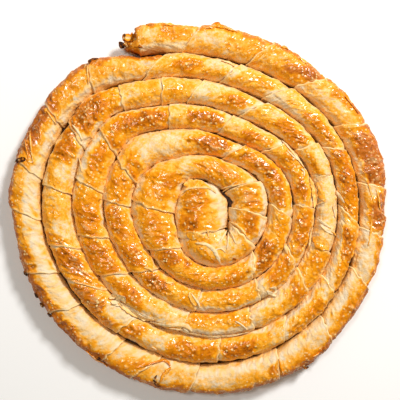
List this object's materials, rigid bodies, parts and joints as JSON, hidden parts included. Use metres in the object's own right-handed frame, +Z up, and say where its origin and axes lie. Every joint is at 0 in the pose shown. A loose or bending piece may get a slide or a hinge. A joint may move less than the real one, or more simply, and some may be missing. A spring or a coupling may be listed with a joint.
{
  "type": "coiled spanakopita pie",
  "caption": "Round baked pie: a long rope of wrapped filo pastry wound clockwise into a flat coil, with a torn free end at the rim and a tucked-in hook at the centre.",
  "frame": {"origin": "middle of the coil's outer bounds, on its flat underside", "axes": "+Z up through the coil, +Y towards the back, where the rope's free end lies a little to the left, +X to the right"},
  "size_m": [0.329, 0.3248, 0.0283],
  "materials": {
    "baked_filo": "egg-glazed golden filo, glossy and deep orange-brown on the crests, matte pale cream on the sides of each turn"
  },
  "bodies": {
    "root": {"filo_coil": "baked_filo"}
  },
  "joints": []
}
